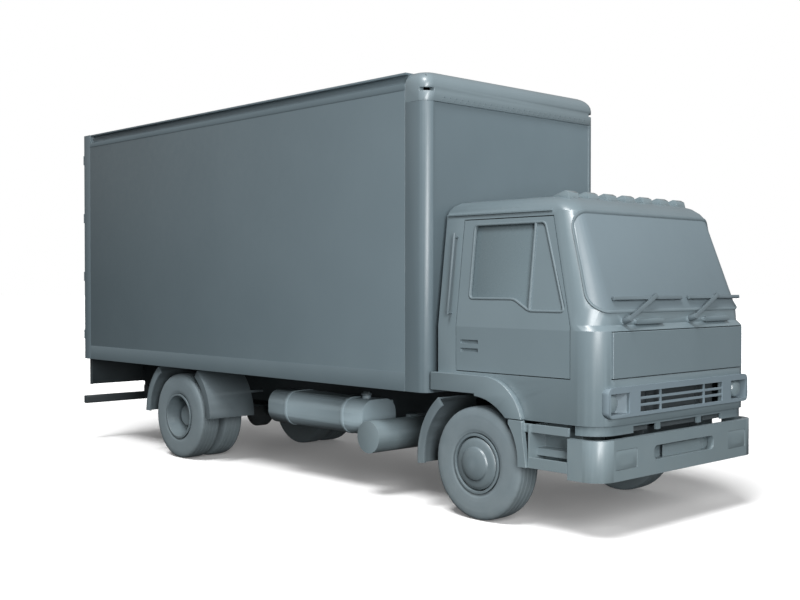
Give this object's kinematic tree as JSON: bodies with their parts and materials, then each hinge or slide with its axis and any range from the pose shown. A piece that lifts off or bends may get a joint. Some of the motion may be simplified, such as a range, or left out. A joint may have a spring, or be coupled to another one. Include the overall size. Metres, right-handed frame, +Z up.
{
  "type": "mail delivery truck",
  "caption": "Cab-over box truck with a tall plain cargo body, hinged rear doors, tilting cab, dual rear tyres and a side fuel tank, for moving mail.",
  "frame": {"origin": "middle of the footprint at ground level", "axes": "+X forward, +Y to the truck's left, +Z up"},
  "size_m": [8.3308, 2.5, 4.003],
  "materials": {
    "body_paint": "satin",
    "trim_paint": "satin",
    "chassis_paint": "satin",
    "cast_metal": "matte",
    "wheel_paint": "satin",
    "tyre_rubber": "matte",
    "guard_plastic": "matte",
    "window_glass": "gloss",
    "lamp_lens": "gloss",
    "deck_board": "matte",
    "bar_steel": "satin",
    "seat_cloth": "matte"
  },
  "bodies": {
    "chassis": {"frame_rails": "chassis_paint", "frame_crossmembers": "chassis_paint", "body_bearers": "chassis_paint", "front_axle_beam": "cast_metal", "rear_axle": "cast_metal", "springs_and_dampers": "chassis_paint", "engine": "cast_metal", "radiator": "chassis_paint", "fuel_tank": "trim_paint", "silencer": "trim_paint", "battery_box": "trim_paint", "bumper": "trim_paint", "signal_lamps": "lamp_lens", "cab_steps": "trim_paint", "front_mudguards": "guard_plastic", "rear_mudguards": "guard_plastic", "underrun_guard": "chassis_paint", "cab_mounts": "chassis_paint", "box_floor": "deck_board", "box_side_right": "body_paint", "box_side_left": "body_paint", "box_front_wall": "body_paint", "box_roof": "body_paint", "roof_cap": "body_paint", "rear_frame": "body_paint"},
    "tank_cap": {"fuel_cap": "guard_plastic"},
    "shaft": {"propshaft": "chassis_paint"},
    "tie_rod": {"track_rod": "chassis_paint"},
    "rear_door_r": {"rear_door_right": "body_paint"},
    "rear_door_l": {"rear_door_left": "body_paint"},
    "lock_r": {"lock_bar_right": "bar_steel"},
    "lock_l": {"lock_bar_left": "bar_steel"},
    "knuckle_r": {"steering_knuckle_right": "cast_metal"},
    "knuckle_l": {"steering_knuckle_left": "cast_metal"},
    "front_wheel_r": {"front_tyre_right": "tyre_rubber", "front_wheel_right": "wheel_paint"},
    "front_wheel_l": {"front_tyre_left": "tyre_rubber", "front_wheel_left": "wheel_paint"},
    "rear_wheels_r": {"rear_tyres_right": "tyre_rubber", "rear_wheels_right": "wheel_paint"},
    "rear_wheels_l": {"rear_tyres_left": "tyre_rubber", "rear_wheels_left": "wheel_paint"},
    "cab": {"cab_shell": "body_paint", "cab_roof": "body_paint", "cab_floor": "chassis_paint", "windscreen": "window_glass", "grille": "trim_paint", "cab_lamps": "lamp_lens", "wheel_arches": "body_paint", "grab_handles": "guard_plastic", "seats": "seat_cloth", "dashboard": "guard_plastic"},
    "hand_wheel": {"steering_wheel": "guard_plastic"},
    "hood": {"hood_flap": "body_paint"},
    "wiper_r": {"wiper_right": "guard_plastic"},
    "wiper_l": {"wiper_left": "guard_plastic"},
    "door_r": {"door_right": "body_paint"},
    "door_l": {"door_left": "body_paint"},
    "glass_r": {"door_glass_right": "window_glass"},
    "glass_l": {"door_glass_left": "window_glass"}
  },
  "joints": [
    {"name": "cab_tilt", "type": "hinge", "parent": "chassis", "child": "cab", "pos_m": [4.0115, 0, 0.91], "axis": [0, 1, 0], "range_deg": [0, 50]},
    {"name": "door_right_hinge", "type": "hinge", "parent": "cab", "child": "door_r", "pos_m": [3.8225, -1.152, 1.9], "axis": [0, 0, 1], "range_deg": [0, 70]},
    {"name": "door_left_hinge", "type": "hinge", "parent": "cab", "child": "door_l", "pos_m": [3.8225, 1.152, 1.9], "axis": [0, 0, -1], "range_deg": [0, 70]},
    {"name": "glass_right_slide", "type": "slide", "parent": "door_r", "child": "glass_r", "axis": [0, -0.0549, -0.9985], "range_m": [0, 0.4]},
    {"name": "glass_left_slide", "type": "slide", "parent": "door_l", "child": "glass_l", "axis": [0, 0.0549, -0.9985], "range_m": [0, 0.4]},
    {"name": "hood_hinge", "type": "hinge", "parent": "cab", "child": "hood", "pos_m": [4.1275, 0, 1.675], "axis": [0, -1, 0], "range_deg": [0, 75]},
    {"name": "wiper_right_turn", "type": "hinge", "parent": "cab", "child": "wiper_r", "pos_m": [4.1092, -0.789, 1.772], "axis": [0.9374, 0, 0.3483], "range_deg": [0, 70]},
    {"name": "wiper_left_turn", "type": "hinge", "parent": "cab", "child": "wiper_l", "pos_m": [4.1092, 0.181, 1.772], "axis": [0.9374, 0, 0.3483], "range_deg": [0, 70]},
    {"name": "steering_wheel_turn", "type": "hinge", "parent": "cab", "child": "hand_wheel", "pos_m": [3.5265, -0.54, 1.73], "axis": [-0.5736, 0, 0.8192], "range_deg": [-480, 480]},
    {"name": "steer_right", "type": "hinge", "parent": "chassis", "child": "knuckle_r", "pos_m": [2.8135, -0.86, 0.499], "axis": [0, 0, 1], "range_deg": [-30, 30]},
    {"name": "steer_left", "type": "hinge", "parent": "chassis", "child": "knuckle_l", "pos_m": [2.8135, 0.86, 0.499], "axis": [0, 0, 1], "range_deg": [-30, 30]},
    {"name": "track_rod_slide", "type": "slide", "parent": "chassis", "child": "tie_rod", "axis": [0, 1, 0], "range_m": [-0.085, 0.085]},
    {"name": "front_wheel_right_spin", "type": "hinge", "parent": "knuckle_r", "child": "front_wheel_r", "pos_m": [2.8135, -1.035, 0.499], "axis": [0, 1, 0], "continuous": true},
    {"name": "front_wheel_left_spin", "type": "hinge", "parent": "knuckle_l", "child": "front_wheel_l", "pos_m": [2.8135, 1.035, 0.499], "axis": [0, 1, 0], "continuous": true},
    {"name": "rear_wheels_right_spin", "type": "hinge", "parent": "chassis", "child": "rear_wheels_r", "pos_m": [-1.9585, -0.9, 0.499], "axis": [0, 1, 0], "continuous": true},
    {"name": "rear_wheels_left_spin", "type": "hinge", "parent": "chassis", "child": "rear_wheels_l", "pos_m": [-1.9585, 0.9, 0.499], "axis": [0, 1, 0], "continuous": true},
    {"name": "propshaft_spin", "type": "hinge", "parent": "chassis", "child": "shaft", "pos_m": [-1.6235, 0, 0.499], "axis": [0.9982, 0, 0.0606], "continuous": true},
    {"name": "fuel_cap_hinge", "type": "hinge", "parent": "chassis", "child": "tank_cap", "pos_m": [1.0235, -0.9, 0.9505], "axis": [0, -1, 0], "range_deg": [0, 90]},
    {"name": "rear_door_right_hinge", "type": "hinge", "parent": "chassis", "child": "rear_door_r", "pos_m": [-4.1475, -1.236, 2.5], "axis": [0, 0, 1], "range_deg": [0, 240]},
    {"name": "rear_door_left_hinge", "type": "hinge", "parent": "chassis", "child": "rear_door_l", "pos_m": [-4.1475, 1.236, 2.5], "axis": [0, 0, -1], "range_deg": [0, 240]},
    {"name": "lock_right_turn", "type": "hinge", "parent": "rear_door_r", "child": "lock_r", "pos_m": [-4.1445, -0.33, 2.5], "axis": [0, 0, -1], "range_deg": [0, 90]},
    {"name": "lock_left_turn", "type": "hinge", "parent": "rear_door_l", "child": "lock_l", "pos_m": [-4.1445, 0.33, 2.5], "axis": [0, 0, 1], "range_deg": [0, 90]}
  ],
  "couplings": [
    {"joint": "steer_left", "follows": "steer_right", "ratio": 1},
    {"joint": "steering_wheel_turn", "follows": "steer_right", "ratio": 16},
    {"joint": "track_rod_slide", "follows": "steer_right", "m_per_rad": -0.16},
    {"joint": "wiper_left_turn", "follows": "wiper_right_turn", "ratio": 1}
  ]
}
